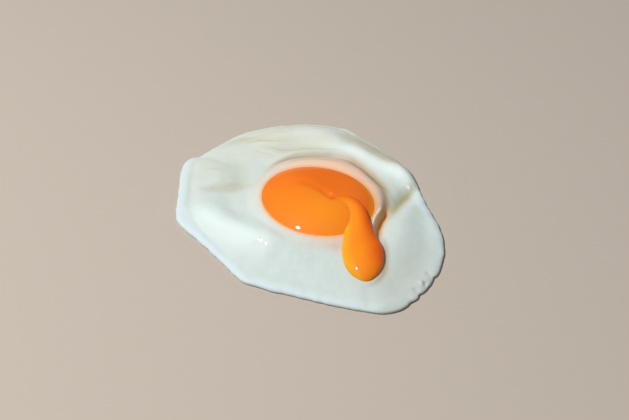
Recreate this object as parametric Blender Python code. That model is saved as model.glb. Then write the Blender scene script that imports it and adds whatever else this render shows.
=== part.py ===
"""A fried egg with a broken yolk, built at its real size in Blender 4.5.

Three solids lie on each other as they do in the pan: the white, with its folds and the pocket that
holds the yolk; the yolk, a low dome that has sunk at the back; and the run of yolk that came out of
the break and spread over the white. Each starts as a UV sphere whose rings are moved to where the
real surface is. Sizes are in millimetres until the last step, which turns them into metres.
The yolk's centre is the point that all the shapes are described from.
"""

import math

import bmesh
import bpy
import numpy as np

MM = 0.001  # metres in a millimetre
GAP = 0.3  # clearance between the yolk and its pocket
RUN_GAP = 0.45  # clearance under the run, which bridges the small hollows below it

# The yolk: an oval dome in a bowl, sunk behind the place where it broke.
YOLK_LONG = 23.0  # half of its longest way across
YOLK_SHORT = 19.8  # half of its shortest way across
YOLK_TURN = math.radians(-37)  # its long way, from +X
YOLK_RIM = 8.6  # height of its visible edge above the pan
YOLK_FLOOR = 1.5  # the layer of white that it sits on
YOLK_DOME = 5.0  # height of the dome above its edge
YOLK_CREST = 2.9  # how flat the dome's top is: 2 is a round cap
BOWL_FULLNESS = 3.4  # 2 would be a half ellipsoid, more is fuller at the sides
SUNK_AT, SUNK_SIZE, SUNK_DEPTH = (8.2, 9.0), 11.5, 2.4
CREASE_LINE = [(-11.0, 7.4), (-6.0, 6.0), (-1.6, 3.9), (2.4, 0.6), (4.8, -2.4), (7.4, -4.6)]
YOLK_FOLDS = [
    # the crease that bounds the sunken part, and the bed that the run lies in
    (CREASE_LINE, -0.4, 3.0, 2.2),
    ([(17.4, -24.0), (16.0, -16.0), (14.2, -9.0), (8.0, -3.8)], -0.6, 3.0, 4.5),
]

# The white: its outline, anticlockwise from the right.
OUTLINE = [
    (48.3, -19.0), (47.7, -11.0), (45.0, -0.6), (41.2, 13.2), (38.7, 21.8), (35.6, 30.2),
    (25.5, 42.8), (16.7, 52.0), (9.7, 57.0), (-4.3, 59.2), (-18.5, 57.6), (-32.1, 52.5),
    (-44.9, 41.5), (-48.7, 37.2), (-52.7, 35.6), (-55.5, 30.6), (-55.9, 16.0), (-55.9, 0.6),
    (-53.5, -6.2), (-40.0, -23.0), (-29.7, -36.6), (-23.1, -40.8), (-6.7, -47.0), (11.7, -52.8),
    (23.2, -55.0), (31.2, -52.4), (39.3, -44.0), (45.7, -32.0),
]  # fmt: skip

# The film of white that climbs to the yolk's edge, with its own outline. Like all the lists of eight,
# the numbers that go with it are for every 45 degrees round the yolk, the first at +X.
FILM_OUTLINE = [
    (26.2, 2.6), (25.1, 9.0), (22.2, 15.1), (18.2, 20.8), (12.4, 26.0), (4.9, 28.0), (-4.0, 28.0),
    (-12.6, 26.0), (-20.0, 19.6), (-25.4, 10.9), (-26.4, 1.0), (-24.2, -8.4), (-17.8, -17.4),
    (-8.8, -23.0), (1.5, -25.2), (12.0, -24.4), (18.4, -20.6), (21.3, -17.0), (21.9, -13.2),
    (23.1, -9.0), (25.3, -4.0),
]  # fmt: skip
FILM_EDGE = [7, 8, 6, 2.8, 2, 2, 2, 5]  # every 45 degrees from +X: 2 ends in a slope, 8 in a step
FILM_FALL = [0.32, 0.15, -0.02, 0.0, 0.1, 0.2, 0.2, 0.4]  # its fall for each millimetre outwards

# The thick white near the yolk and the thin sheet outside it, with its rounded edge.
THICK = [5.3, 6.1, 6.9, 6.0, 5.0, 6.6, 6.1, 5.0]  # height near the yolk, every 45 degrees from +X
SHEET = [2.6, 1.2, 1.8, 2.2, 2.3, 2.4, 2.6, 2.6]  # height near the edge
SHOULDER = [0.52, 0.60, 0.80, 0.76, 0.74, 0.62, 0.48, 0.48]  # where it falls, from yolk to edge
SHOULDER_WIDTH = [0.30, 0.42, 0.34, 0.30, 0.30, 0.30, 0.30, 0.34]  # how gently it falls
EDGE_HEIGHT = 0.9  # height of the widest point of the rounded edge
EDGE_ROUND = [3.2, 7.0, 7.0, 5.5, 2.6, 2.8, 4.0, 7.0]  # how far in the white has its full height

# Folds and creases of the white, run anticlockwise, so that the yolk is on their left. Each has its
# path, its height (a crease's is negative), and its width on the yolk's side and on the far side.
FOLD_FADE = 0.3  # the share of a fold's length over which each end fades out
FOLD_END = 0.06  # how much of it is left at the very ends
FOLD_SAMPLES = 80  # along each fold's path
FOLDS = [
    # the thick fold behind the yolk on the right, and the groove at the foot of its steep face
    ([(37.4, 10.5), (37.2, 14.5), (36.4, 18.4), (34.8, 21.6), (32.4, 24.6), (29.0, 27.2),
      (25.0, 29.8), (21.0, 32.0), (17.0, 34.4), (13.0, 36.6), (9.0, 38.4), (3.0, 40.4)],
     3.6, 5.4, 9.0),
    ([(26.0, 29.0), (31.6, 25.6), (35.8, 21.4), (38.0, 17.0), (38.4, 12.0)], 1.3, 3.2, 3.4),
    ([(30.8, 7.4), (27.2, 12.7), (23.5, 17.8), (20.0, 22.1), (16.8, 25.3), (12.7, 28.3),
      (6.0, 30.4)], -1.4, 2.2, 2.2),
    # the crease where that fold ends and the right-hand sheet starts
    ([(27.2, -8.5), (30.2, 0.3), (33.0, 6.2), (36.4, 11.6), (42.0, 18.4)], -2.2, 3.8, 3.2),
    # the deep hollow beside the run
    ([(23.9, -20.0), (23.9, -14.0), (24.9, -9.4), (26.3, -4.4), (27.4, 1.5)], -1.4, 1.6, 2.2),
    # the crease that runs on behind the film
    ([(14.0, 32.6), (0.9, 35.6), (-5.3, 35.8), (-11.4, 35.4), (-15.5, 35.7), (-25.0, 38.8)],
     -0.9, 2.4, 2.6),
    # the broad fold along the back
    ([(18.0, 40.5), (11.2, 42.8), (3.0, 44.6), (-5.3, 45.8), (-13.6, 45.6), (-21.8, 44.0),
      (-32.0, 40.0)], 1.6, 5.5, 9.0),
    # the hump at the left, the soft dent behind it and the dent in front of it
    ([(-38.0, 15.5), (-40.5, 20.5), (-41.5, 26.0)], 0.6, 3.4, 4.2),
    ([(-37.5, 31.0), (-33.4, 26.4), (-31.6, 21.0), (-32.6, 13.0)], -0.9, 4.4, 4.4),
    ([(-25.0, 15.6), (-34.0, 13.4), (-40.0, 13.2), (-49.0, 13.8)], -1.4, 3.2, 1.9),
    # the shoulder of thick white at the front left, and the shallow moat inside it
    ([(-47.4, 10.0), (-46.0, 3.0), (-42.8, -3.6), (-36.4, -10.6), (-28.0, -15.8),
      (-20.0, -20.0), (-10.0, -23.6), (-2.0, -26.0)], 2.0, 7.0, 4.0),
    ([(-37.5, 14.0), (-35.2, 6.0), (-32.2, -1.0), (-28.0, -7.0)], -0.5, 4.2, 4.0),
    # where that shoulder leans against the film
    ([(-27.5, -5.0), (-23.8, -11.5), (-18.5, -17.0), (-10.0, -22.0)], 0.5, 2.4, 3.0),
    # the swell to the right of the run
    ([(29.0, -30.0), (31.5, -20.0), (33.4, -11.0), (37.5, -1.0), (42.0, 7.0)], 1.3, 5.0, 8.0),
    # the soft crease to the front edge below the run
    ([(17.6, -43.0), (18.6, -49.0), (19.4, -56.0)], -0.4, 2.4, 2.4),
]  # fmt: skip

# The run of yolk: its middle line from the break to its tip, with its half-width, its thickness, how
# far it leans, and how blunt its two sides are.
RUN_LINE = [
    (6.4, -3.4), (9.4, -4.2), (12.2, -5.9), (14.1, -9.4), (15.3, -14.6),
    (16.0, -19.8), (16.6, -25.0), (17.0, -30.4), (17.5, -35.4), (18.1, -40.8),
]  # fmt: skip
RUN_HALF_WIDTH = [1.4, 2.6, 3.7, 4.4, 4.9, 6.3, 7.7, 7.7, 6.6, 5.0]
RUN_THICKNESS = [0.5, 1.3, 2.4, 3.5, 4.3, 4.8, 5.0, 4.7, 4.0, 3.2]
RUN_LEAN = [0.4, 0.5, 0.6, 0.6, 0.5, 0.3, 0.2, 0.15, 0.1, 0.0]  # 1 has all its height on the right
RUN_LEFT = [2.4, 2.6, 2.8, 2.6, 2.0, 1.2, 0.95, 0.9, 0.8, 0.75]  # under 1 is blunt, over 1 thin
RUN_RIGHT = 0.7  # the same for its right side
RUN_END = 0.14  # the share of its length that each rounded end takes
RUN_BRIDGE = np.linspace(-4, 4, 5)  # how far back and on the heights under it are averaged

WHITE_SEGMENTS = 112
POCKET_RINGS, TOP_RINGS, EDGE_RINGS, BASE_RINGS = 7, 22, 4, 1
WHITE_RINGS = POCKET_RINGS + TOP_RINGS + EDGE_RINGS + BASE_RINGS
TOP_CROWDING = 1.1  # over 1 brings the rings of the upper surface together towards the edge
YOLK_SEGMENTS, YOLK_RINGS = 48, 18
RUN_SEGMENTS, RUN_RINGS = 20, 24
CURVE_SAMPLES = 200  # along the run's middle line
OUTLINE_SAMPLES = 1000  # round each outline
TINY = 1e-9  # keeps a division by a distance of 0 from failing


def between(p0, p1, p2, p3, f):
    """The smooth curve from p1 to p2, at f from 0 to 1, with p0 and p3 as its neighbours."""
    linear = (p2 - p0) * f
    square = (2 * p0 - 5 * p1 + 4 * p2 - p3) * f**2
    cube = (3 * p1 - p0 - 3 * p2 + p3) * f**3
    return 0.5 * (2 * p1 + linear + square + cube)


def around(values, angle):
    """A smooth value at each angle, from values evenly spaced round the egg, the first at +X."""
    values = np.asarray(values, float)
    n = len(values)
    place = angle / (2 * math.pi) * n % n
    i = np.floor(place).astype(int)
    return between(*(values[(i + k) % n] for k in (-1, 0, 1, 2)), place - i)


def open_curve(points, samples):
    """A smooth curve through points, open at its ends, as evenly spaced samples."""
    points = np.asarray(points, float)
    if points.ndim == 1:
        points = points[:, None]
    first, last = 2 * points[0] - points[1], 2 * points[-1] - points[-2]
    points = np.vstack([first, points, last])
    place = np.linspace(0, len(points) - 3, samples)
    i = np.minimum(np.floor(place).astype(int), len(points) - 4)
    f = (place - i)[:, None]
    return between(points[i], points[i + 1], points[i + 2], points[i + 3], f)


def smooth_step(low, high, value):
    """0 below low, 1 above high and an S-shaped rise between."""
    t = np.clip((value - low) / (high - low), 0, 1)
    return t * t * (3 - 2 * t)


def draw_outline(points):
    """The directions of a closed outline, in rising order, and how far it reaches in each."""
    place = np.linspace(0, 2 * math.pi, OUTLINE_SAMPLES, endpoint=False)
    x, y = (around([p[k] for p in points], place) for k in (0, 1))
    turns = np.arctan2(y, x)
    order = np.argsort(turns)
    return turns[order], np.hypot(x, y)[order]


def reach_of(drawn, angle):
    """The distance from the yolk's centre to a drawn outline in each direction."""
    turns, reach = drawn
    return np.interp(angle, turns, reach, period=2 * math.pi)


def yolk_reach(angle):
    """The distance from the yolk's centre to its edge in each direction."""
    a = angle - YOLK_TURN
    return YOLK_LONG * YOLK_SHORT / np.hypot(YOLK_SHORT * np.cos(a), YOLK_LONG * np.sin(a))


EDGE = draw_outline(OUTLINE)
FILM = draw_outline(FILM_OUTLINE)


def fold(x, y, path, height, near, far):
    """How much one fold raises each place: a bell-shaped ridge along its path."""
    line = open_curve(path, FOLD_SAMPLES)
    off_x, off_y = x[:, None] - line[:, 0], y[:, None] - line[:, 1]
    nearest = np.argmin(off_x**2 + off_y**2, 1)
    off_x, off_y = (off[np.arange(len(nearest)), nearest] for off in (off_x, off_y))
    step_x, step_y = np.gradient(line, axis=0)[nearest].T
    ahead = np.clip((off_x * step_x + off_y * step_y) / (step_x**2 + step_y**2), -1, 1)
    off_x, off_y = off_x - ahead * step_x, off_y - ahead * step_y
    distance = np.hypot(off_x, off_y)
    leftness = (step_x * off_y - step_y * off_x) / (np.hypot(step_x, step_y) * distance + TINY)
    width = (near + far + leftness * (near - far)) / 2
    share = np.clip((nearest + ahead) / (FOLD_SAMPLES - 1), 0, 1)
    fade = smooth_step(0, FOLD_FADE, share) * smooth_step(0, FOLD_FADE, 1 - share)
    return height * (FOLD_END + (1 - FOLD_END) * fade) * np.exp(-((distance / width) ** 2))


def film(angle, from_yolk):
    """How much of the film there is, from 1 at the yolk to 0 beyond the film's edge."""
    across = from_yolk / (reach_of(FILM, angle) - yolk_reach(angle))
    return np.exp(-(across ** around(FILM_EDGE, angle)))


def white_top(x, y):
    """The height of the white outside the yolk."""
    angle, away = np.arctan2(y, x), np.hypot(x, y)
    from_yolk = np.maximum(away - yolk_reach(angle), 0)
    from_edge = np.maximum(reach_of(EDGE, angle) - away, 0)
    sets = (THICK, SHEET, SHOULDER, SHOULDER_WIDTH)
    thick, sheet, shoulder, width = (around(values, angle) for values in sets)
    share = from_yolk / (from_yolk + from_edge)
    fall = smooth_step(shoulder - width, shoulder + width, share)
    top = thick + (sheet - thick) * fall + sum(fold(x, y, *one) for one in FOLDS)
    film_top = YOLK_RIM - around(FILM_FALL, angle) * from_yolk
    top = top + (film_top - top) * film(angle, from_yolk)
    inwards = np.clip(from_edge / around(EDGE_ROUND, angle), 0, 1)
    return EDGE_HEIGHT + (top - EDGE_HEIGHT) * np.sqrt(1 - (1 - inwards) ** 2)


def yolk_top(x, y):
    """The height of the yolk's dome inside its edge."""
    share = np.clip(np.hypot(x, y) / yolk_reach(np.arctan2(y, x)), 0, 1)
    dome = YOLK_DOME * (1 - share**YOLK_CREST)
    away = ((x - SUNK_AT[0]) ** 2 + (y - SUNK_AT[1]) ** 2) / SUNK_SIZE**2
    sunk = SUNK_DEPTH * np.exp(-away) - sum(fold(x, y, *one) for one in YOLK_FOLDS)
    return YOLK_RIM + dome - sunk * (1 - share**3)


def bowl(share, floor):
    """The height of a bowl from its floor, at share 0, to the yolk's edge, at share 1."""
    return YOLK_RIM - (YOLK_RIM - floor) * (1 - share**BOWL_FULLNESS) ** (1 / BOWL_FULLNESS)


def outline_centre():
    """The middle of the white's outline, which becomes the model's origin."""
    turns, reach = EDGE
    x, y = reach * np.cos(turns), reach * np.sin(turns)
    return (x.min() + x.max()) / 2, (y.min() + y.max()) / 2


def moulded(name, segments, rings, mould, colour, roughness):
    """A UV sphere whose points mould() moves: it gets each point's turn round the poles, and its
    way from the top pole, 0, to the bottom one, 1, and returns x, y and z in millimetres."""
    mesh = bpy.data.meshes.new(name)
    made = bmesh.new()
    bmesh.ops.create_uvsphere(made, u_segments=segments, v_segments=rings, radius=1)
    place = np.array([v.co for v in made.verts])
    turn = np.arctan2(place[:, 1], place[:, 0])
    down = np.arccos(np.clip(place[:, 2], -1, 1)) / math.pi
    moved = np.stack(mould(turn, down), -1) * MM
    for vertex, co in zip(made.verts, moved):
        vertex.co = co
    made.to_mesh(mesh)
    made.free()
    mesh.shade_smooth()
    mesh.materials.append(material(name, colour, roughness))
    piece = bpy.data.objects.new(name, mesh)
    x, y = outline_centre()
    piece.location = (-x * MM, -y * MM, 0)
    return piece


def mould_white(turn, down):
    """Pocket, upper surface, rounded edge and flat base, from the inside out and back again."""
    inner, outer = yolk_reach(turn), reach_of(EDGE, turn)
    ring = down * WHITE_RINGS
    pocket = np.sin(np.clip(ring / POCKET_RINGS, 0, 1) * math.pi / 2)
    ring = ring - POCKET_RINGS
    in_pocket = ring < -0.5
    top = 1 - (1 - np.clip(ring / TOP_RINGS, 0, 1)) ** TOP_CROWDING
    ring = ring - TOP_RINGS
    edge = np.clip(ring / EDGE_RINGS, 0, 1) * math.pi / 2
    base = np.clip((ring - EDGE_RINGS) / BASE_RINGS, 0, 1)
    reach = inner * pocket + (outer - inner) * top
    reach = (reach - EDGE_HEIGHT * (1 - np.cos(edge))) * (1 - base)
    x, y = reach * np.cos(turn), reach * np.sin(turn)
    z = np.where(in_pocket, bowl(pocket, YOLK_FLOOR), white_top(x, y))
    return x, y, np.where(ring > 0.5, EDGE_HEIGHT * (1 - np.sin(edge)), z)


def mould_yolk(turn, down):
    """The dome above the widest ring, and the bowl-shaped underside below it."""
    share = np.sin(down * math.pi)
    reach = (yolk_reach(turn) - GAP) * share
    x, y = reach * np.cos(turn), reach * np.sin(turn)
    below = bowl(share, YOLK_FLOOR + GAP)
    return x, y, np.where(down > 0.5, below, yolk_top(x, y))


def under_run(x, y):
    """The height of what the run lies on."""
    inside = np.hypot(x, y) < yolk_reach(np.arctan2(y, x))
    return np.where(inside, yolk_top(x, y), white_top(x, y))


def along_run(share, values):
    """The run's values at each share of the way from its start to its tip."""
    curve = open_curve(values, CURVE_SAMPLES)[:, 0]
    return np.interp(share * (CURVE_SAMPLES - 1), np.arange(CURVE_SAMPLES), curve)


def mould_run(turn, down):
    """A tongue of liquid from pole to pole along its middle line, lying on what is under it."""
    share = (1 + np.cos(down * math.pi)) / 2
    middle_x, middle_y = (along_run(share, [p[k] for p in RUN_LINE]) for k in (0, 1))
    onwards = np.gradient(open_curve(RUN_LINE, CURVE_SAMPLES), axis=0)
    onwards = onwards[np.rint(share * (CURVE_SAMPLES - 1)).astype(int)]
    on_x, on_y = (onwards / np.linalg.norm(onwards, axis=1, keepdims=True)).T
    ends = np.clip(np.minimum(share, 1 - share) / RUN_END, 0, 1)
    rounding = np.sqrt(1 - (1 - ends) ** 2)
    sideways = along_run(share, RUN_HALF_WIDTH) * rounding * np.cos(turn)
    x, y = middle_x - on_y * sideways, middle_y + on_x * sideways
    bed = under_run(x, y)
    soft_bed = sum(under_run(x + d * on_x, y + d * on_y) for d in RUN_BRIDGE) / len(RUN_BRIDGE)
    left, lean = along_run(share, RUN_LEFT), along_run(share, RUN_LEAN)
    power = left + (RUN_RIGHT - left) * (1 + np.cos(turn)) / 2
    height = np.clip(np.sin(turn), 0, 1)
    profile = height**power * (1 - lean + lean * np.cos(turn))
    z = bed + (soft_bed - bed) * smooth_step(0, 0.5, height)
    return x, y, z + RUN_GAP + along_run(share, RUN_THICKNESS) * rounding * profile


def material(name, colour, roughness):
    made = bpy.data.materials.new(name)
    made.use_nodes = True
    shader = made.node_tree.nodes["Principled BSDF"]
    shader.inputs["Base Color"].default_value = (*colour, 1)
    shader.inputs["Roughness"].default_value = roughness
    shader.inputs["Metallic"].default_value = 0
    return made


def main():
    for old in list(bpy.data.objects):
        bpy.data.objects.remove(old)
    egg = bpy.data.collections.new("fried_egg")
    bpy.context.scene.collection.children.link(egg)
    pieces = [
        moulded("white", WHITE_SEGMENTS, WHITE_RINGS, mould_white, (0.79, 0.84, 0.81), 0.3),
        moulded("yolk", YOLK_SEGMENTS, YOLK_RINGS, mould_yolk, (0.94, 0.27, 0.02), 0.2),
        moulded("yolk_run", RUN_SEGMENTS, RUN_RINGS, mould_run, (0.96, 0.30, 0.02), 0.15),
    ]
    for piece in pieces:
        egg.objects.link(piece)


main()
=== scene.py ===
# %% [markdown]
# # A fried egg with a broken yolk
#
# A fried egg is liquid that has set where it lay. That tells us how to model it: there are no edges
# that a tool has cut, only a puddle of egg white with soft folds, a dome of yolk held by a thin skin,
# and one slow run of liquid yolk. We make each of the three as a ball whose points we move, because
# each of them is one closed skin round one lump of stuff. What makes it look like egg comes after
# that: light that goes a little way into the surface, a wet shine, colours that change with the
# thickness of the white, and some light and shade painted into the colours.

import math

import bmesh
import bpy
import numpy as np
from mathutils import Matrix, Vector, noise


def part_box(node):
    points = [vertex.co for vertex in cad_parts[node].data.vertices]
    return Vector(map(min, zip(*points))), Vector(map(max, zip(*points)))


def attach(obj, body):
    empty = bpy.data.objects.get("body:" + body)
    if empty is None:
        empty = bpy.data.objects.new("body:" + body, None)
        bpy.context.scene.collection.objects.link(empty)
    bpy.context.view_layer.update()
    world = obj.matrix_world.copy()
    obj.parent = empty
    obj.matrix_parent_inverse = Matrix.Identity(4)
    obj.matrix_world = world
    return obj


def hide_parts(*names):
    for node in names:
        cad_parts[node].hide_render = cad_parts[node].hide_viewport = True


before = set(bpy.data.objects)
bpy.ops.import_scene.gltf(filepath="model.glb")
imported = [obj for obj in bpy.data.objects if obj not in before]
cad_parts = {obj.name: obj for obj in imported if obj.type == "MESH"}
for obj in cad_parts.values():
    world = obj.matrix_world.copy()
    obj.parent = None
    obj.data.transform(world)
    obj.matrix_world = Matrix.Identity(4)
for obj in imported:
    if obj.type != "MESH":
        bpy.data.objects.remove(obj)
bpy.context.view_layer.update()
print("nodes:", sorted(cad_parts))

# %% [markdown]
# ## Where everything is measured from
#
# All the shapes are described from the middle of the yolk, because the white has flowed out and set
# round it. The frame tells us where that is. We write sizes in millimetres, which suit an egg better
# than metres, and turn them into metres at the very end.

# %% The middle of the yolk
MM = 0.001
low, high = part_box("yolk")
YOLK_MIDDLE = Vector(((low.x + high.x) / 2, (low.y + high.y) / 2, 0))
print("the yolk's middle in mm:", [round(c / MM, 2) for c in YOLK_MIDDLE])

# %% [markdown]
# ## Smooth curves from a few points
#
# Nothing on an egg is straight. A Catmull-Rom curve passes through all the points that we give it,
# so a handful of points is enough for an outline or for the path of a fold. We need two kinds: one
# that closes on itself, read by angle, and one with two ends.

# %% Curves and steps
def between(p0, p1, p2, p3, f):
    """The smooth curve from p1 to p2, at f from 0 to 1, with p0 and p3 as its neighbours."""
    linear = (p2 - p0) * f
    square = (2 * p0 - 5 * p1 + 4 * p2 - p3) * f**2
    cube = (3 * p1 - p0 - 3 * p2 + p3) * f**3
    return 0.5 * (2 * p1 + linear + square + cube)


def around(values, angle):
    """A smooth value at each angle, from values evenly spaced round the egg, the first at +X."""
    values = np.asarray(values, float)
    n = len(values)
    place = angle / (2 * math.pi) * n % n
    i = np.floor(place).astype(int)
    return between(*(values[(i + k) % n] for k in (-1, 0, 1, 2)), place - i)


def open_curve(points, samples):
    """A smooth curve through points, open at its ends, as evenly spaced samples."""
    points = np.asarray(points, float)
    if points.ndim == 1:
        points = points[:, None]
    first, last = 2 * points[0] - points[1], 2 * points[-1] - points[-2]
    points = np.vstack([first, points, last])
    place = np.linspace(0, len(points) - 3, samples)
    i = np.minimum(np.floor(place).astype(int), len(points) - 4)
    f = (place - i)[:, None]
    return between(points[i], points[i + 1], points[i + 2], points[i + 3], f)


def smooth_step(low, high, value):
    """0 below low, 1 above high and an S-shaped rise between."""
    t = np.clip((value - low) / (high - low), 0, 1)
    return t * t * (3 - 2 * t)


def unevenness(x, y, size, seed=0):
    """Soft random hills from about -1 to 1, whose bumps are about size across."""
    places = zip(np.ravel(x) / size, np.ravel(y) / size)
    hills = [noise.noise(Vector((a, b, seed))) for a, b in places]
    return 2 * np.array(hills).reshape(np.shape(x))


print("a step from 0 to 1:", smooth_step(0, 1, np.linspace(0, 1, 5)).round(2))

# %% [markdown]
# ## Folds
#
# Folds and creases are what make the white look soft. One can be pictured as a path drawn on the
# white, with the surface raised along it and falling away on both sides like a bell curve. A crease
# is the same with a negative height. Giving the two sides different widths makes one side steep and
# the other gentle, as in a fold that has slumped over, and a lower power makes the bell pointed, as
# in a sharp crease. The same function also paints: used with a height of 1, it gives a soft stripe.

# %% The height of a fold
FOLD_FADE = 0.3  # the share of a fold's length over which each end fades out
FOLD_END = 0.06  # how much of it is left at the very ends
FOLD_SAMPLES = 80
FOLD_REACH = 4  # how many widths away a fold is too low to matter
ROUND, SHARP = 2.0, 1.3  # powers of the bell


def fold(x, y, path, height, near, far, power=ROUND):
    """How much a fold raises each place. near and far are its widths to the left and the right."""
    line = open_curve(path, FOLD_SAMPLES)
    raised = np.zeros(np.size(x))
    (low_x, low_y), (high_x, high_y) = line.min(0), line.max(0)
    reach = FOLD_REACH * max(near, far)
    close = (np.ravel(x) > low_x - reach) & (np.ravel(x) < high_x + reach)
    close &= (np.ravel(y) > low_y - reach) & (np.ravel(y) < high_y + reach)
    off_x, off_y = (np.ravel(v)[close][:, None] - line[:, k] for k, v in enumerate((x, y)))
    nearest = np.argmin(off_x**2 + off_y**2, 1)
    off_x, off_y = (v[np.arange(len(nearest)), nearest] for v in (off_x, off_y))
    step_x, step_y = np.gradient(line, axis=0)[nearest].T
    ahead = np.clip((off_x * step_x + off_y * step_y) / (step_x**2 + step_y**2), -1, 1)
    off_x, off_y = off_x - ahead * step_x, off_y - ahead * step_y
    distance = np.hypot(off_x, off_y)
    leftness = (step_x * off_y - step_y * off_x) / (np.hypot(step_x, step_y) * distance + 1e-9)
    width = (near + far + leftness * (near - far)) / 2
    share = np.clip((nearest + ahead) / (FOLD_SAMPLES - 1), 0, 1)
    fade = smooth_step(0, FOLD_FADE, share) * smooth_step(0, FOLD_FADE, 1 - share)
    height = height * (FOLD_END + (1 - FOLD_END) * fade)
    raised[close] = height * np.exp(-((distance / width) ** power))
    return raised.reshape(np.shape(x))


def folds(x, y, several):
    """The sum of several folds."""
    return sum(fold(x, y, *one) for one in several)


print("a fold 2 mm high and 3 mm wide, from its crest outwards:")
print(fold(np.zeros(5), np.arange(5.0), [(-9, 0), (0, 0), (9, 0)], 2, 3, 3).round(2))

# %% [markdown]
# ## The yolk's oval
#
# Seen from above the yolk is close to an ellipse, longest from the back left to the front right.
# The white needs the same ellipse, because its pocket is pressed round the yolk.

# %% The yolk's reach
YOLK_LONG = 23.0  # half of its longest way across
YOLK_SHORT = 19.8  # half of its shortest way across
YOLK_TURN = math.radians(-37)  # its long way, from +X
YOLK_RIM = 8.6  # height of its visible edge
YOLK_FLOOR = 1.5  # the layer of white that it sits on
BOWL_FULLNESS = 3.4  # 2 would be a half ellipsoid, more is fuller at the sides


def yolk_reach(angle):
    """The distance from the yolk's middle to its edge in each direction."""
    a = angle - YOLK_TURN
    return YOLK_LONG * YOLK_SHORT / np.hypot(YOLK_SHORT * np.cos(a), YOLK_LONG * np.sin(a))


def bowl(share, floor):
    """The height of a bowl from its floor, at share 0, to the yolk's edge, at share 1."""
    return YOLK_RIM - (YOLK_RIM - floor) * (1 - share**BOWL_FULLNESS) ** (1 / BOWL_FULLNESS)


print("the yolk reaches", yolk_reach(np.radians([0, 90])).round(1), "mm to +X and +Y")

# %% [markdown]
# ## The outline of the white
#
# The white ran out until it was thin enough to set. Its outline has long, nearly straight stretches
# with blunt corners between them, so it is drawn with a point at each corner and one or two on each
# stretch. A little unevenness on top keeps the edge from looking drawn with a ruler, and a few nicks
# are where the edge tore as it was lifted.

# %% The white's reach
OUTLINE = [
    (48.3, -19.0), (47.7, -11.0), (45.0, -0.6), (41.2, 13.2), (38.7, 21.8), (35.6, 30.2),
    (25.5, 42.8), (16.7, 52.0), (9.7, 57.0), (-4.3, 59.2), (-18.5, 57.6), (-32.1, 52.5),
    (-44.9, 41.5), (-48.7, 37.2), (-52.7, 35.6), (-55.5, 30.6), (-55.9, 16.0), (-55.9, 0.6),
    (-53.5, -6.2), (-40.0, -23.0), (-29.7, -36.6), (-23.1, -40.8), (-6.7, -47.0), (11.7, -52.8),
    (23.2, -55.0), (31.2, -52.4), (39.3, -44.0), (45.7, -32.0),
]  # fmt: skip
EDGE_UNEVEN = [(0.3, 7.0), (0.12, 2.6)]  # how far the edge wanders in and out, and how often
NICKS = [  # where the edge is nicked, how deep and how wide
    ((43.9, -36.6), 0.7, 1.1),
    ((37.8, -46.0), 0.8, 1.2),
    ((34.6, -50.4), 0.5, 1.3),
    ((41.6, -41.6), 0.3, 0.8),
]


def draw_outline(points, steps):
    """The directions of a closed outline, in rising order, and how far it reaches in each."""
    place = np.linspace(0, 2 * math.pi, steps, endpoint=False)
    x, y = (around([p[k] for p in points], place) for k in (0, 1))
    turns = np.arctan2(y, x)
    order = np.argsort(turns)
    return turns[order], np.hypot(x, y)[order]


def wear_edge(turns, reach):
    """Makes an outline uneven and cuts the nicks in it."""
    x, y = reach * np.cos(turns), reach * np.sin(turns)
    for seed, (depth, wander) in enumerate(EDGE_UNEVEN):
        reach = reach + depth * unevenness(x, y, wander, seed=3 + seed)
    for (nick_x, nick_y), depth, width in NICKS:
        reach = reach - depth * np.exp(-((np.hypot(x - nick_x, y - nick_y) / width) ** 2))
    return reach


EDGE_TURNS, SMOOTH_REACH = draw_outline(OUTLINE, 3000)
EDGE_REACH = wear_edge(EDGE_TURNS, SMOOTH_REACH)


def outline_reach(angle):
    """The distance from the yolk's middle to the white's outline in each direction."""
    return np.interp(angle, EDGE_TURNS, EDGE_REACH, period=2 * math.pi)


directions = np.radians(np.arange(0, 360, 90))
print("the white reaches", outline_reach(directions).round(1), "mm to +X, +Y, -X and -Y")

# %% [markdown]
# ## The film round the yolk
#
# A film of white climbs to the yolk's edge and hides the yolk's side. Behind and to the right it is a
# broad, nearly level band that ends in a small step. In front it is a narrow slope. It has an outline
# of its own, drawn like the white's. How suddenly it ends, and how much it falls on the way, are
# given in eight directions, and the curve joins them.

# %% The film
FILM_OUTLINE = [
    (26.2, 2.6), (25.1, 9.0), (22.2, 15.1), (18.2, 20.8), (12.4, 26.0), (4.9, 28.0), (-4.0, 28.0),
    (-12.6, 26.0), (-20.0, 19.6), (-25.4, 10.9), (-26.4, 1.0), (-24.2, -8.4), (-17.8, -17.4),
    (-8.8, -23.0), (1.5, -25.2), (12.0, -24.4), (18.4, -20.6), (21.3, -17.0), (21.9, -13.2),
    (23.1, -9.0), (25.3, -4.0),
]  # fmt: skip
FILM_EDGE = [7, 8, 6, 2.8, 2, 2, 2, 5]  # every 45 degrees from +X: 2 ends in a slope, 8 in a step
FILM_FALL = [0.32, 0.15, -0.02, 0.0, 0.1, 0.2, 0.2, 0.4]  # its fall for each millimetre outwards
FILM_TURNS, FILM_REACH = draw_outline(FILM_OUTLINE, 1000)


def place_on_white(x, y):
    """The direction of each place, and how far it is from the yolk's edge and from the outline."""
    angle = np.arctan2(y, x)
    away = np.hypot(x, y)
    return angle, np.maximum(away - yolk_reach(angle), 0), np.maximum(outline_reach(angle) - away, 0)


def across_film(angle, from_yolk):
    """The share of the way from the yolk's edge to the film's edge."""
    width = np.interp(angle, FILM_TURNS, FILM_REACH, period=2 * math.pi) - yolk_reach(angle)
    return from_yolk / width


def film(angle, from_yolk):
    """How much of the film there is, from 1 at the yolk to 0 beyond the film's edge."""
    return np.exp(-(across_film(angle, from_yolk) ** around(FILM_EDGE, angle)))


print("the film 4 mm behind the yolk:", float(film(math.pi / 2, 4.0).round(2)))

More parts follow.
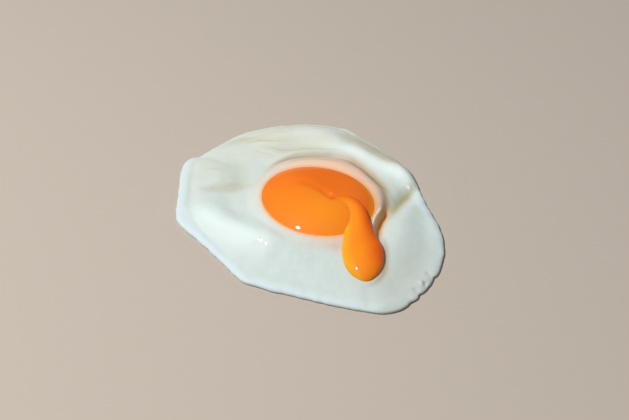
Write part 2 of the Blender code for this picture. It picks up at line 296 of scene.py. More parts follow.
# %% [markdown]
# ## The top of the white
#
# An egg has two whites. The thick one stays near the yolk in a low cushion, and the thin one runs
# out into a sheet that is half as high. We give both heights, and where the one turns into the
# other, in the same eight directions. The film and the folds are added on top, and last of all the
# surface curves down to the rim like a quarter of an ellipse, as a liquid's edge does.

# %% Thick white, thin white and the big folds
THICK = [5.3, 6.1, 6.9, 6.0, 5.0, 6.6, 6.1, 5.0]  # height near the yolk, every 45 degrees from +X
SHEET = [2.6, 1.2, 1.8, 2.2, 2.3, 2.4, 2.6, 2.6]  # height near the edge
SHOULDER = [0.52, 0.60, 0.80, 0.76, 0.74, 0.62, 0.48, 0.48]  # where it falls, from yolk to edge
SHOULDER_WIDTH = [0.30, 0.42, 0.34, 0.30, 0.30, 0.30, 0.30, 0.34]  # how gently it falls
EDGE_HEIGHT = 0.9  # height of the widest point of the rounded edge
EDGE_ROUND = [3.2, 7.0, 7.0, 5.5, 2.6, 2.8, 4.0, 7.0]  # how far in the white has its full height
BIG_FOLDS = [
    # the thick fold behind the yolk on the right, and the groove at the foot of its steep face
    ([(37.4, 10.5), (37.2, 14.5), (36.4, 18.4), (34.8, 21.6), (32.4, 24.6), (29.0, 27.2),
      (25.0, 29.8), (21.0, 32.0), (17.0, 34.4), (13.0, 36.6), (9.0, 38.4), (3.0, 40.4)],
     3.6, 5.4, 9.0),
    ([(26.0, 29.0), (31.6, 25.6), (35.8, 21.4), (38.0, 17.0), (38.4, 12.0)], 1.3, 3.2, 3.4),
    ([(30.8, 7.4), (27.2, 12.7), (23.5, 17.8), (20.0, 22.1), (16.8, 25.3), (12.7, 28.3),
      (6.0, 30.4)], -1.5, 2.0, 1.7, SHARP),
    # the crease where that fold ends and the right-hand sheet starts
    ([(27.2, -8.5), (30.2, 0.3), (33.0, 6.2), (36.4, 11.6), (42.0, 18.4)], -2.2, 3.8, 3.2, 1.7),
    # the deep hollow beside the run
    ([(23.9, -20.0), (23.9, -14.0), (24.9, -9.4), (26.3, -4.4), (27.4, 1.5)], -1.4, 1.6, 2.2),
    # the thin ridge behind the film, and the creases on both sides of it
    ([(15.0, 29.8), (7.0, 32.4), (0.9, 33.0), (-5.2, 32.9), (-10.5, 32.0), (-18.5, 28.0)],
     0.9, 1.1, 1.5),
    ([(16.0, 26.0), (9.4, 29.9), (2.9, 30.8), (-5.2, 30.5), (-11.3, 29.2), (-19.0, 24.6)],
     -1.2, 0.8, 1.0, SHARP),
    ([(12.0, 33.2), (0.9, 36.2), (-5.3, 36.4), (-11.4, 36.0), (-15.5, 36.1), (-25.0, 38.8)],
     -1.2, 1.2, 2.2, SHARP),
    # the broad fold along the back
    ([(18.0, 40.5), (11.2, 42.8), (3.0, 44.6), (-5.3, 45.8), (-13.6, 45.6), (-21.8, 44.0),
      (-32.0, 40.0)], 1.6, 5.5, 9.0),
    # the hump at the left, the soft dent behind it and the dent in front of it
    ([(-38.0, 15.5), (-40.5, 20.5), (-41.5, 26.0)], 0.6, 3.4, 4.2),
    ([(-37.5, 31.0), (-33.4, 26.4), (-31.6, 21.0), (-32.6, 13.0)], -0.9, 4.4, 4.4),
    ([(-25.0, 15.6), (-34.0, 13.4), (-40.0, 13.2), (-49.0, 13.8)], -1.4, 3.2, 1.9),
    # the shoulder of thick white at the front left, and the shallow moat inside it
    ([(-47.4, 10.0), (-46.0, 3.0), (-42.8, -3.6), (-36.4, -10.6), (-28.0, -15.8),
      (-20.0, -20.0), (-10.0, -23.6), (-2.0, -26.0)], 2.0, 7.0, 4.0),
    ([(-37.5, 14.0), (-35.2, 6.0), (-32.2, -1.0), (-28.0, -7.0)], -0.5, 4.2, 4.0),
    # where that shoulder leans against the film
    ([(-27.5, -5.0), (-23.8, -11.5), (-18.5, -17.0), (-10.0, -22.0)], 0.5, 2.4, 3.0),
    # the swell to the right of the run
    ([(29.0, -30.0), (31.5, -20.0), (33.4, -11.0), (37.5, -1.0), (42.0, 7.0)], 1.3, 5.0, 8.0),
    # the soft crease to the front edge below the run
    ([(17.6, -43.0), (18.6, -49.0), (19.4, -56.0)], -0.4, 2.4, 2.4),
]  # fmt: skip


def white_top(x, y):
    """The height of the white outside the yolk."""
    angle, from_yolk, from_edge = place_on_white(x, y)
    sets = (THICK, SHEET, SHOULDER, SHOULDER_WIDTH)
    thick, sheet, shoulder, width = (around(values, angle) for values in sets)
    share = from_yolk / (from_yolk + from_edge)
    fall = smooth_step(shoulder - width, shoulder + width, share)
    top = thick + (sheet - thick) * fall + folds(x, y, BIG_FOLDS)
    film_top = YOLK_RIM - around(FILM_FALL, angle) * from_yolk
    top = top + (film_top - top) * film(angle, from_yolk)
    inwards = np.clip(from_edge / around(EDGE_ROUND, angle), 0, 1)
    return EDGE_HEIGHT + (top - EDGE_HEIGHT) * np.sqrt(1 - (1 - inwards) ** 2)


for word, spot in (("beside the yolk", (-30, -5)), ("on the right-hand fold", (27, 25))):
    print("the white is", float(white_top(*spot).round(1)), "mm thick", word)

# %% [markdown]
# ## A ball that becomes egg
#
# A UV sphere has two poles and rings between them, which is just what a puddle with a hollow in its
# middle needs: the top pole becomes the bottom of the hollow, the rings climb out of it, cross the
# upper side, go round the rim and meet again in the middle of the underside. Moving the points of a
# sphere always leaves a closed skin. While we are at it we write numbers on the points, such as how
# much of the film's pink each one has, and read them later in a material.

# %% Mould a sphere
def moulded(name, segments, rings, mould):
    """A UV sphere whose points mould() moves. It gets each point's turn round the poles and its way
    down from the top pole, 0, to the bottom one, 1. It returns x, y and z, and a dictionary of
    marks: numbers to write on the points."""
    mesh = bpy.data.meshes.new(name)
    ball = bmesh.new()
    bmesh.ops.create_uvsphere(ball, u_segments=segments, v_segments=rings, radius=1)
    place = np.array([v.co for v in ball.verts])
    ball.to_mesh(mesh)
    ball.free()
    turn = np.arctan2(place[:, 1], place[:, 0])
    down = np.arccos(np.clip(place[:, 2], -1, 1)) / math.pi
    x, y, z, marks = mould(turn, down)
    middle = np.array(YOLK_MIDDLE)
    mesh.vertices.foreach_set("co", (np.stack([x, y, z], -1) * MM + middle).ravel())
    for mark, values in marks.items():
        written = mesh.attributes.new(mark, "FLOAT", "POINT")
        written.data.foreach_set("value", np.clip(values, 0, 1).astype(np.float32))
    mesh.shade_smooth()
    mesh.update()
    piece = bpy.data.objects.new(name, mesh)
    bpy.context.scene.collection.objects.link(piece)
    print(name, "has", len(mesh.vertices), "points and the marks", sorted(marks))
    return piece


# %% [markdown]
# ## The fine skin of the white
#
# On top of the big shape comes what is too fine for it: wrinkles that fan out at the back left, where
# several folds run together, the line where the thick white stops and the thin edge starts, small
# dimples at the front right, and a faint unevenness everywhere.

# %% Wrinkles
WRINKLES = [
    # the fan of wrinkles at the back left
    ([(-31.0, 42.0), (-25.5, 43.4), (-19.5, 41.6), (-13.0, 41.4)], -0.55, 1.1, 1.0, SHARP),
    ([(-29.0, 40.2), (-22.0, 40.0), (-14.0, 38.8), (-4.0, 39.4)], 0.35, 0.9, 1.0),
    ([(-27.0, 35.8), (-22.6, 34.4), (-19.0, 32.8), (-16.0, 31.0)], -0.4, 0.9, 0.9, SHARP),
    ([(-33.0, 46.0), (-26.0, 47.4), (-16.0, 49.0)], -0.25, 1.0, 1.0),
    ([(-3.0, 50.5), (6.0, 50.0), (14.0, 46.5)], -0.25, 1.2, 1.2),
    # a second, lower step in the film behind the yolk, and the lip where it ends beside the run
    ([(-15.0, 24.0), (-9.2, 26.4), (-5.2, 27.0), (0.9, 26.8), (6.9, 25.8), (13.6, 22.0)],
     -0.4, 0.6, 0.7, SHARP),
    ([(25.2, -0.5), (24.0, -5.0), (22.3, -9.2), (21.2, -13.2), (20.8, -17.6)], 0.5, 0.5, 0.5),
    # the lip along the back edge, with a shallow crease inside it
    ([(16.4, 50.6), (14.4, 52.4), (11.5, 54.2), (8.0, 55.2)], 0.35, 0.8, 0.9),
    ([(17.0, 47.8), (13.6, 50.4), (10.0, 52.2), (6.0, 53.4)], -0.3, 1.1, 1.2),
    # the line where the thick white ends at the left, and the thin edge starts
    ([(-44.0, 42.0), (-46.8, 38.2), (-49.4, 32.7), (-50.6, 22.9), (-50.6, 13.3), (-50.2, 3.9),
      (-48.0, -4.0), (-44.1, -11.2), (-39.1, -18.8), (-33.4, -26.8), (-28.0, -33.0)],
     -0.55, 2.0, 1.6),
    # a drop at the head of the crease on the right, and one on the film's lip
    ([(36.2, 14.3), (36.8, 15.1)], 0.7, 0.8, 0.8),
    ([(24.6, -4.9), (25.0, -4.3)], 0.5, 0.7, 0.7),
    # a low ridge on the shoulder at the front left, which catches the light
    ([(-27.6, -22.2), (-25.4, -22.0), (-23.4, -21.8), (-21.2, -22.2)], 0.26, 1.0, 1.0),
    # dimples and creases at the nicked edge on the front right
    ([(39.2, -39.6), (40.6, -42.0)], -0.7, 0.9, 0.8),
    ([(37.6, -38.8), (39.0, -42.4)], 0.45, 1.0, 1.0),
    ([(40.0, -34.4), (44.0, -37.0)], -0.5, 0.9, 0.9, SHARP),
    ([(35.0, -42.6), (38.0, -46.4)], -0.5, 0.9, 1.0, SHARP),
]  # fmt: skip
UNEVEN_SKIN = [(0.18, 9.0), (0.045, 3.0), (0.008, 1.0)]  # the height and the size of its bumps


def skin_of_white(x, y):
    """The top of the white with everything that is too fine for the big shape."""
    angle, from_yolk, from_edge = place_on_white(x, y)
    bumps = sum(h * unevenness(x, y, size, seed=k) for k, (h, size) in enumerate(UNEVEN_SKIN))
    bumps = bumps * smooth_step(0, 3, from_yolk) * smooth_step(0, 3, from_edge)
    return white_top(x, y) + bumps + folds(x, y, WRINKLES) * smooth_step(0, 1.5, from_edge)


print("the wrinkles at the back left:", folds(*np.array([[-24, 42], [-20, 39]]).T, WRINKLES).round(2))

# %% [markdown]
# ## Marks on the white
#
# The white changes colour with what is under it and with how thick it is. Near the yolk it is a peach
# film, in the hollow beside the run yolk has seeped in, and the thin edge is faintly blue. Other marks
# are painted light and shade: tan shade in the groove, brown shade in the hollow, beige that is partly
# shade in the creases, olive shade in one deep crease, grey shade where the white faces away from the
# lamp, lighter paint where it faces the lamp, and a few painted glints. Each of these is a number on
# every point.

# %% What is where on the white
FILM_TINT = [1.0, 1.0, 0.9, 0.5, 0.14, 0.1, 0.4, 1.0]  # how peach the film is, from +X
FILM_SPREAD = 1.08  # how far the peach reaches past the film's edge, as a share of its width
FILM_RIM = 0.42  # how wide its darker rim is, as a share of its width
STAIN_WIDTH = 1.1  # how far the yolk's orange bleeds into the film
THIN_WIDTH = 5.0  # how wide the thin, faintly blue edge is
THIN_TINT = [1.0, 0.1, 0.0, 0.4, 1.0, 1.0, 0.7, 0.1]  # how blue it is
# painted shade: tan-brown in the groove, in the film's steps and along the right of the run, where
# shade falls
GROOVE_SHADE_LINES = [
    # at the foot of the thick fold, then on along the thin ridge
    ([(29.4, 8.4), (27.1, 12.4), (23.4, 17.5), (19.8, 21.7), (16.5, 25.0), (12.6, 28.0),
      (5.0, 30.4)], 1.0, 2.6, 2.0),
    ([(12.0, 28.2), (4.0, 30.2), (-6.0, 30.2), (-11.3, 29.0), (-17.0, 25.8), (-23.0, 19.0)],
     0.8, 1.2, 1.2),
    # the step within the film
    ([(-15.0, 24.0), (-9.2, 26.4), (-5.2, 27.0), (0.9, 26.8), (6.9, 25.8), (13.6, 22.0)],
     0.35, 0.7, 0.7),
    # the shade along the right of the run
    ([(15.0, -44.0), (21.4, -40.8), (24.6, -35.6), (25.6, -29.0), (25.4, -22.0), (23.0, -15.0)],
     0.75, 1.2, 1.2),
    # along the film's step on the right
    ([(26.0, -6.0), (27.3, 1.0), (27.0, 6.2), (25.2, 11.9), (22.2, 17.0)], 0.7, 1.2, 0.9),
]  # fmt: skip
# the yolk's orange in the hollow beside the run, darkened to brown with painted shade
HOLLOW_TINT_AND_SHADE_LINES = [
    ([(22.2, -23.0), (23.1, -13.6), (24.3, -8.6), (25.9, -3.4), (27.2, 3.0)], 1.2, 1.8, 1.4),
]
# painted highlights: pale glints on the film's lip beside the run, on the drop at the head of the
# crease and on the lip along the back edge
GLINT_LINES = [
    ([(25.2, -0.5), (23.9, -5.0), (22.2, -9.2), (21.0, -13.2), (20.7, -17.6)], 1.1, 0.45, 0.45),
    ([(36.2, 14.3), (36.8, 15.1)], 1.0, 0.9, 0.9),
    ([(9.0, 55.4), (11.8, 54.6), (14.8, 52.6), (17.0, 50.6)], 1.0, 0.5, 0.5),
]
# beige, partly the white's own tint and partly painted shade: in the creases and on the slopes that
# face away from the lamp
BEIGE_AND_SHADE_LINES = [
    ([(-46.0, 40.0), (-34.0, 46.0), (-25.5, 44.0), (-18.0, 41.6), (-4.0, 40.0)], 0.75, 2.0, 3.0),
    ([(-26.0, 38.8), (-15.5, 36.1), (-11.4, 36.0), (-5.3, 36.4), (0.9, 36.2), (10.0, 34.4)],
     0.9, 1.2, 3.6),
    ([(36.6, 25.5), (33.6, 29.0), (29.0, 33.2), (22.0, 38.8), (15.0, 44.4), (11.0, 53.0)],
     0.9, 5.2, 5.0),
    ([(36.5, 19.5), (32.6, 23.6), (28.4, 27.2), (23.0, 31.2), (17.0, 34.6), (10.0, 38.0)],
     0.45, 1.6, 3.0),
    ([(-52.0, 30.0), (-40.0, 20.0), (-28.0, 4.0)], 0.35, 9.0, 9.0),
    ([(-24.0, 15.8), (-30.0, 14.4), (-35.5, 13.4), (-46.0, 13.2)], 0.35, 1.9, 1.6),
    ([(26.0, -11.0), (29.2, 0.6), (31.6, 6.6), (35.6, 12.0), (41.0, 18.0)], 0.4, 3.4, 2.6),
]  # fmt: skip
# painted shade: dark olive in the crease where the big fold ends
CREASE_SHADE_LINES = [
    ([(26.4, -10.0), (29.6, -0.5), (32.6, 6.2), (35.8, 11.8), (42.0, 20.0)], 1.0, 1.7, 2.1),
]
DRY_LINES = [  # where it isn't wet
    ([(4.0, 34.0), (12.0, 30.4), (18.0, 26.4), (24.0, 20.6)], 1.4, 3.6, 3.0),
    ([(-21.2, -15.0), (-20.2, -24.0), (-19.0, -33.0)], 0.95, 3.5, 1.6),
]
SHADED_WHITE_LINES = [
    # painted shade: darker in the dents at the left, on the thin sheet at the front right, which faces
    # away from the lamp, and along its edge, which turns under
    ([(-26.0, 14.6), (-34.0, 13.6), (-40.0, 13.2), (-50.0, 13.4)], 0.9, 2.6, 2.0),
    ([(-41.0, 30.0), (-33.6, 26.6), (-30.6, 22.0), (-31.6, 16.0), (-34.0, 8.0)], 0.5, 3.6, 3.6),
    ([(14.0, -54.0), (26.0, -46.0), (33.0, -37.0), (37.0, -27.0), (39.0, -10.0)], 0.9, 8.0, 6.0),
    ([(14.0, -57.0), (31.2, -54.0), (40.3, -45.0), (48.7, -28.0)], 0.9, 2.8, 2.6),
]  # fmt: skip
LIT_WHITE_LINES = [
    # painted light: lighter on the face and the tip of the big fold, on the shoulder at the front left
    # and on the fold along the back, which face the lamp
    ([(38.6, 10.0), (37.4, 16.6), (34.0, 20.6), (27.6, 24.0), (21.8, 27.4), (16.4, 31.0),
      (8.0, 35.4), (-2.0, 38.0)], 0.9, 3.4, 4.0),
    ([(-50.0, 8.0), (-46.0, -2.0), (-40.0, -9.6), (-32.0, -16.4), (-23.0, -21.2),
      (-8.0, -25.0)], 0.62, 7.0, 4.6),
    ([(-16.0, 46.0), (-8.0, 48.0), (2.0, 48.0), (12.0, 45.0)], 0.6, 4.0, 4.0),
]  # fmt: skip
WARM_AT, WARM_SIZE = (-8.0, 50.0), (45.0, 24.0)  # where the white is warmer in colour


def marks_on_white(x, y):
    """How much of each colour there is at each place, from 0 to 1."""
    angle, from_yolk, from_edge = place_on_white(x, y)
    tint = around(FILM_TINT, angle)
    from_rim = across_film(angle, from_yolk) - 1
    off_warm = ((x - WARM_AT[0]) / WARM_SIZE[0]) ** 2 + ((y - WARM_AT[1]) / WARM_SIZE[1]) ** 2
    return {
        "warm": np.exp(-off_warm),
        "film": film(angle, from_yolk / FILM_SPREAD) * tint,
        "film_edge": np.exp(-((from_rim / FILM_RIM) ** 2)) * tint**2,
        "stain": np.exp(-((from_yolk / STAIN_WIDTH) ** 1.5)),
        "thin": smooth_step(THIN_WIDTH, 0.5, from_edge) * around(THIN_TINT, angle),
        "groove_shade": folds(x, y, GROOVE_SHADE_LINES),
        "hollow_tint_and_shade": folds(x, y, HOLLOW_TINT_AND_SHADE_LINES),
        "painted_glint": folds(x, y, GLINT_LINES),
        "beige_and_shade": folds(x, y, BEIGE_AND_SHADE_LINES),
        "crease_shade": folds(x, y, CREASE_SHADE_LINES),
        "shaded_white": folds(x, y, SHADED_WHITE_LINES),
        "lit_white": folds(x, y, LIT_WHITE_LINES),
        "wet": smooth_step(1.0, 6.0, from_edge) * (1 - 0.7 * film(angle, from_yolk / 1.3))
        * (1 - folds(x, y, DRY_LINES)),
    }  # fmt: skip


# %% [markdown]
# ## The white
#
# The rings of the sphere are shared out: a few for the hidden pocket, most for the upper side, a
# dozen for the rounded rim and a few for the flat underside.

# %% Make the white
POCKET_RINGS, TOP_RINGS, EDGE_RINGS, BASE_RINGS = 8, 136, 12, 4
WHITE_RINGS = POCKET_RINGS + TOP_RINGS + EDGE_RINGS + BASE_RINGS
WHITE_SEGMENTS = 600
TOP_CROWDING = 1.2  # over 1 brings the rings of the upper side together towards the edge


def mould_white(turn, down):
    """Pocket, upper side, rounded edge and flat base, from the inside out and back again."""
    inner, outer = yolk_reach(turn), outline_reach(turn)
    ring = down * WHITE_RINGS
    pocket = np.sin(np.clip(ring / POCKET_RINGS, 0, 1) * math.pi / 2)
    ring = ring - POCKET_RINGS
    in_pocket = ring < -0.5
    top = 1 - (1 - np.clip(ring / TOP_RINGS, 0, 1)) ** TOP_CROWDING
    ring = ring - TOP_RINGS
    edge = np.clip(ring / EDGE_RINGS, 0, 1) * math.pi / 2
    base = np.clip((ring - EDGE_RINGS) / BASE_RINGS, 0, 1)
    reach = inner * pocket + (outer - inner) * top
    reach = (reach - EDGE_HEIGHT * (1 - np.cos(edge))) * (1 - base)
    x, y = reach * np.cos(turn), reach * np.sin(turn)
    z = np.where(in_pocket, bowl(pocket, YOLK_FLOOR), skin_of_white(x, y))
    z = np.where(ring > 0.5, EDGE_HEIGHT * (1 - np.sin(edge)), z)
    return x, y, z, marks_on_white(x, y)


white = moulded("egg_white", WHITE_SEGMENTS, WHITE_RINGS, mould_white)

# %% [markdown]
# ## The yolk
#
# The yolk is held up by its skin, so it bulges. Where the skin broke, the yolk has run out and the
# dome behind the break has sunk, with a crease round the sunken part. The sunken part is a deeper
# orange than the full, round part in front, partly painted shade where it slopes away from the lamp,
# and the crease is the deepest, as painted shade. The front, which faces the lamp, and the right-hand
# rim are painted lighter, as painted light. A shallow bed is pressed into the dome where the run
# lies, so that the run seems to grow out of the yolk.

# %% Make the yolk
YOLK_DOME = 5.0  # height of the dome above its edge
YOLK_CREST = 2.9  # how flat the dome's top is: 2 is a round cap
SUNK_AT, SUNK_SIZE, SUNK_DEPTH = (8.2, 9.0), 11.5, 2.4
CREASE_LINE = [(-11.0, 7.4), (-6.0, 6.0), (-1.6, 3.9), (2.4, 0.6), (4.8, -2.4), (7.4, -4.6)]
FLANK_LINE = [(6.0, -3.0), (9.6, -2.2), (12.8, -3.2), (16.0, -6.0), (18.2, -9.8), (20.4, -15.5)]
YOLK_FOLDS = [
    # the crease that bounds the sunken part, and the bed that the run lies in
    (CREASE_LINE, -0.4, 3.0, 2.2),
    ([(17.4, -24.0), (16.0, -16.0), (14.2, -9.0), (8.0, -3.8)], -0.35, 3.0, 4.5),
]
# painted light: the front of the dome, which faces the lamp, is painted a lighter orange
LIT_AT, LIT_SIZE = (2.0, -13.0), 15.0
YOLK_SHADE_LINES = [
    # painted shade: darker in the crease, along the right of the run, where its shaded flank meets the
    # dome, and darkest where the yolk tore
    (CREASE_LINE, 0.5, 1.6, 1.6),
    (FLANK_LINE, 1.0, 2.0, 1.2),
    ([(4.2, -2.6), (5.4, -3.2), (7.2, -3.4)], 1.0, 1.2, 1.2),
]
BLISTER = [(4.6, 0.6), (6.0, 0.1)]
TORN_SKIN = [
    # the small blister beside the tear, and the sharp bottom of the crease
    (BLISTER, 0.5, 0.8, 0.8),
    ([(0.0, 2.8), (2.4, 0.6), (4.8, -2.4), (7.0, -4.4)], -0.3, 0.9, 0.8, SHARP),
]
YOLK_CLEAR = 0.05  # how far the yolk stays from the wall of its pocket


def yolk_top(x, y):
    """The height of the yolk's dome inside its edge."""
    share = np.clip(np.hypot(x, y) / yolk_reach(np.arctan2(y, x)), 0, 1)
    dome = YOLK_DOME * (1 - share**YOLK_CREST)
    away = ((x - SUNK_AT[0]) ** 2 + (y - SUNK_AT[1]) ** 2) / SUNK_SIZE**2
    sunk = SUNK_DEPTH * np.exp(-away) - folds(x, y, YOLK_FOLDS)
    return YOLK_RIM + dome - sunk * (1 - share**3)


def marks_on_yolk(x, y):
    """Where the yolk is a deeper orange, partly painted shade, and where painted light and painted
    shade make it lighter and darker.
    """
    line = open_curve(CREASE_LINE + FLANK_LINE[1:], FOLD_SAMPLES)
    behind = y - np.interp(x, line[:, 0], line[:, 1])
    blur = 3 + 7 * smooth_step(2.0, -14.0, x)
    share = np.hypot(x, y) / yolk_reach(np.arctan2(y, x))
    return {
        # darker, redder orange behind the crease: partly the sunken skin's colour, partly painted shade
        # where the dome slopes away from the lamp
        "sunk_and_shaded": smooth_step(-blur, blur + 3, behind),
        # painted light: a lighter orange along the right-hand rim
        "rim_light": smooth_step(0.88, 1.0, share) * smooth_step(8.0, 16.0, x) * smooth_step(16.0, 8.0, y),
        "lit_front": np.exp(-((x - LIT_AT[0]) ** 2 + (y - LIT_AT[1]) ** 2) / LIT_SIZE**2),
        "yolk_shade": folds(x, y, YOLK_SHADE_LINES),
        "blister": fold(x, y, BLISTER, 1.0, 0.9, 0.9),
    }


def mould_yolk(turn, down):
    """The dome above the widest ring, and the bowl-shaped underside below it."""
    share = np.sin(down * math.pi)
    reach = (yolk_reach(turn) - YOLK_CLEAR) * share
    x, y = reach * np.cos(turn), reach * np.sin(turn)
    below = bowl(share, YOLK_FLOOR + YOLK_CLEAR)
    above = yolk_top(x, y) + folds(x, y, TORN_SKIN)
    return x, y, np.where(down > 0.5, below, above), marks_on_yolk(x, y)


yolk = moulded("yolk_dome", 256, 128, mould_yolk)

# %% [markdown]
# ## The run
#
# The liquid yolk lies on whatever is under it: first the dome, then the film at the yolk's edge,
# then the white. So its underside is read from their heights. Its upper side follows them too, but
# only softly, because a thick liquid bridges small hollows: there we use the heights averaged over a
# few millimetres. Where it leaves the dome its left side thins out to nothing and its right side
# stands up steeply, and further down it rounds off into a drop. The top pole of its sphere goes to
# the tip of the drop and the bottom pole to the break. The other way round, the faces would look
# inwards.

# %% Make the run
RUN_LINE = [
    (6.4, -3.4), (9.4, -4.2), (12.2, -5.9), (14.1, -9.4), (15.3, -14.6),
    (16.0, -19.8), (16.6, -25.0), (17.0, -30.4), (17.5, -35.4), (18.1, -40.8),
]  # fmt: skip
RUN_HALF_WIDTH = [1.4, 2.6, 3.7, 4.4, 4.9, 6.3, 7.7, 7.7, 6.6, 5.0]
RUN_THICKNESS = [0.5, 1.3, 2.4, 3.5, 4.3, 4.8, 5.0, 4.7, 4.0, 3.2]
RUN_LEAN = [0.4, 0.5, 0.6, 0.6, 0.5, 0.3, 0.2, 0.15, 0.1, 0.0]  # 1 has all its height on the right
RUN_LEFT = [2.4, 2.6, 2.8, 2.6, 2.0, 1.2, 0.95, 0.9, 0.8, 0.75]  # under 1 is blunt, over 1 thin
RUN_RIGHT = 0.7  # the same for its right side
RUN_END = 0.14  # the share of its length that each rounded end takes
RUN_SUNK = 0.1  # how deep its underside lies in what it rests on
RUN_BRIDGE = np.linspace(-4, 4, 5)  # how far back and on the heights under it are averaged


def under_run(x, y):
    """The height of what the run lies on."""
    inside = np.hypot(x, y) < yolk_reach(np.arctan2(y, x))
    return np.where(inside, yolk_top(x, y), white_top(x, y))


def mould_run(turn, down):
    """A tongue of liquid from pole to pole along its middle line, lying on what is under it."""
    samples = 400
    line = open_curve(RUN_LINE, samples)
    share = (1 + np.cos(down * math.pi)) / 2
    at = share * (samples - 1)
    onwards = np.gradient(line, axis=0)
    onwards /= np.linalg.norm(onwards, axis=1, keepdims=True)
    middle_x, middle_y, on_x, on_y = (
        np.interp(at, np.arange(samples), v) for v in (*line.T, *onwards.T)
    )
    ends = np.clip(np.minimum(share, 1 - share) / RUN_END, 0, 1)
    rounding = np.sqrt(1 - (1 - ends) ** 2)
    half_width, thickness, lean, left = (
        np.interp(at, np.arange(samples), open_curve(v, samples)[:, 0])
        for v in (RUN_HALF_WIDTH, RUN_THICKNESS, RUN_LEAN, RUN_LEFT)
    )
    sideways = half_width * rounding * np.cos(turn)
    x, y = middle_x - on_y * sideways, middle_y + on_x * sideways
    bed = under_run(x, y)
    soft_bed = sum(under_run(x + d * on_x, y + d * on_y) for d in RUN_BRIDGE) / len(RUN_BRIDGE)
    power = left + (RUN_RIGHT - left) * (1 + np.cos(turn)) / 2
    height = np.clip(np.sin(turn), 0, 1)
    profile = height**power * (1 - lean + lean * np.cos(turn))
    z = bed - RUN_SUNK + (soft_bed - bed) * smooth_step(0, 0.5, height) + thickness * rounding * profile
    marks = {
        # yellower on the thin left side, where the white shows through, and painted light there, as it
        # faces the lamp
        "thin_and_lit_margin": smooth_step(-0.4, -1.0, np.cos(turn)) * smooth_step(0.1, 0.4, share),
        # painted shade: dark red on the steep right side, which faces away from the lamp
        "shaded_flank": smooth_step(-0.25, 0.85, np.cos(turn)) * smooth_step(1.05, 0.75, share),
        "start": smooth_step(0.22, 0.02, share),
    }
    return x, y, z, marks


run = moulded("run_of_yolk", 112, 168, mould_run)

# %% [markdown]
# ## Shared effects
#
# Egg, set or liquid, is cloudy: its colour drifts a little from place to place. Its wet surface is
# not quite flat either. Both effects are used by all three materials, so each is a node group.

# %% Node groups
def new_group(name, inputs, outputs):
    group = bpy.data.node_groups.new(name, "ShaderNodeTree")
    for word, kind, default in inputs:
        socket = group.interface.new_socket(word, in_out="INPUT", socket_type=kind)
        socket.default_value = default
    for word, kind in outputs:
        group.interface.new_socket(word, in_out="OUTPUT", socket_type=kind)
    return group, group.nodes.new("NodeGroupInput"), group.nodes.new("NodeGroupOutput")


def make_cloudiness():
    """Drifts between a colour and its cloudy version, in soft patches."""
    group, given, out = new_group(
        "Cloudiness",
        [
            ("Colour", "NodeSocketColor", (1, 1, 1, 1)),
            ("Cloudy Colour", "NodeSocketColor", (1, 1, 1, 1)),
            ("Patch Size mm", "NodeSocketFloat", 6.0),
            ("Amount", "NodeSocketFloat", 0.5),
        ],
        [("Colour", "NodeSocketColor")],
    )
    nodes, links = group.nodes, group.links
    place = nodes.new("ShaderNodeTexCoord")
    per_mm = nodes.new("ShaderNodeMath")
    per_mm.operation = "DIVIDE"
    per_mm.inputs[0].default_value = 1 / MM
    links.new(given.outputs["Patch Size mm"], per_mm.inputs[1])
    clouds = nodes.new("ShaderNodeTexNoise")
    clouds.inputs["Detail"].default_value = 3
    links.new(place.outputs["Object"], clouds.inputs["Vector"])
    links.new(per_mm.outputs[0], clouds.inputs["Scale"])
    spread = nodes.new("ShaderNodeMapRange")
    spread.inputs["From Min"].default_value = 0.35
    spread.inputs["From Max"].default_value = 0.65
    links.new(clouds.outputs["Fac"], spread.inputs["Value"])
    share = nodes.new("ShaderNodeMath")
    share.operation = "MULTIPLY"
    links.new(spread.outputs["Result"], share.inputs[0])
    links.new(given.outputs["Amount"], share.inputs[1])
    mix = nodes.new("ShaderNodeMix")
    mix.data_type = "RGBA"
    links.new(share.outputs[0], mix.inputs["Factor"])
    links.new(given.outputs["Colour"], mix.inputs["A"])
    links.new(given.outputs["Cloudy Colour"], mix.inputs["B"])
    links.new(mix.outputs["Result"], out.inputs["Colour"])
    return group


def make_wet_ripple():
    """A height that makes a wet surface slightly wavy."""
    group, given, out = new_group(
        "Wet ripple",
        [("Ripple Size mm", "NodeSocketFloat", 3.0)],
        [("Height", "NodeSocketFloat")],
    )
    nodes, links = group.nodes, group.links
    place = nodes.new("ShaderNodeTexCoord")
    per_mm = nodes.new("ShaderNodeMath")
    per_mm.operation = "DIVIDE"
    per_mm.inputs[0].default_value = 1 / MM
    links.new(given.outputs["Ripple Size mm"], per_mm.inputs[1])
    waves = nodes.new("ShaderNodeTexNoise")
    waves.inputs["Detail"].default_value = 1
    links.new(place.outputs["Object"], waves.inputs["Vector"])
    links.new(per_mm.outputs[0], waves.inputs["Scale"])
    links.new(waves.outputs["Fac"], out.inputs["Height"])
    return group


cloudiness = make_cloudiness()
wet_ripple = make_wet_ripple()
print("node groups:", cloudiness.name, "and", wet_ripple.name)

# %% [markdown]
# ## Materials
#
# Light goes into egg before it comes out again, which is why egg looks soft. That is subsurface
# scattering: a millimetre or two in the white, less in the yolk, and red light goes further than
# blue. The egg's own surface is nearly matt, and a very smooth coat on top is the wetness: it gives
# the pinpoint glints without a broad sheen.

# %% Material helpers
COAT_ROUGHNESS = 0.05


